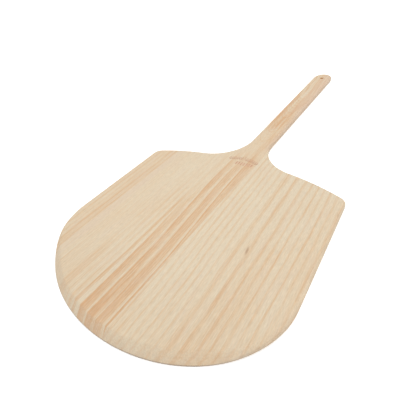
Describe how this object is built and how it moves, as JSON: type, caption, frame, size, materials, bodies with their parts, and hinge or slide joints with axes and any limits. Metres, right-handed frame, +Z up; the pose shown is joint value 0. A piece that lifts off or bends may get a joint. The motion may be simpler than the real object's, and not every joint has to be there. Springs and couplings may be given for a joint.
{
  "type": "pizza peel",
  "caption": "Flat wooden pizza peel: wide edge-glued blade with a bevelled rounded front, sloped shoulders and a straight handle with a hanging hole.",
  "frame": {"origin": "centre of the underside's bounding rectangle, where blade and handle lengths meet", "axes": "+Y along the handle away from the blade, +Z up out of the face that carries the food, +X to the right seen from the blade's tip"},
  "size_m": [0.4064, 0.9144, 0.012],
  "materials": {
    "left_edge_board": "bare sanded softwood, amber growth stripes",
    "handle_board": "bare sanded softwood, pale with a few broad orange-brown bands",
    "right_board": "bare sanded softwood, pale cream with fine even growth lines"
  },
  "bodies": {
    "root": {"left_edge_board": "left_edge_board", "handle_board": "handle_board", "right_board": "right_board"}
  },
  "joints": []
}
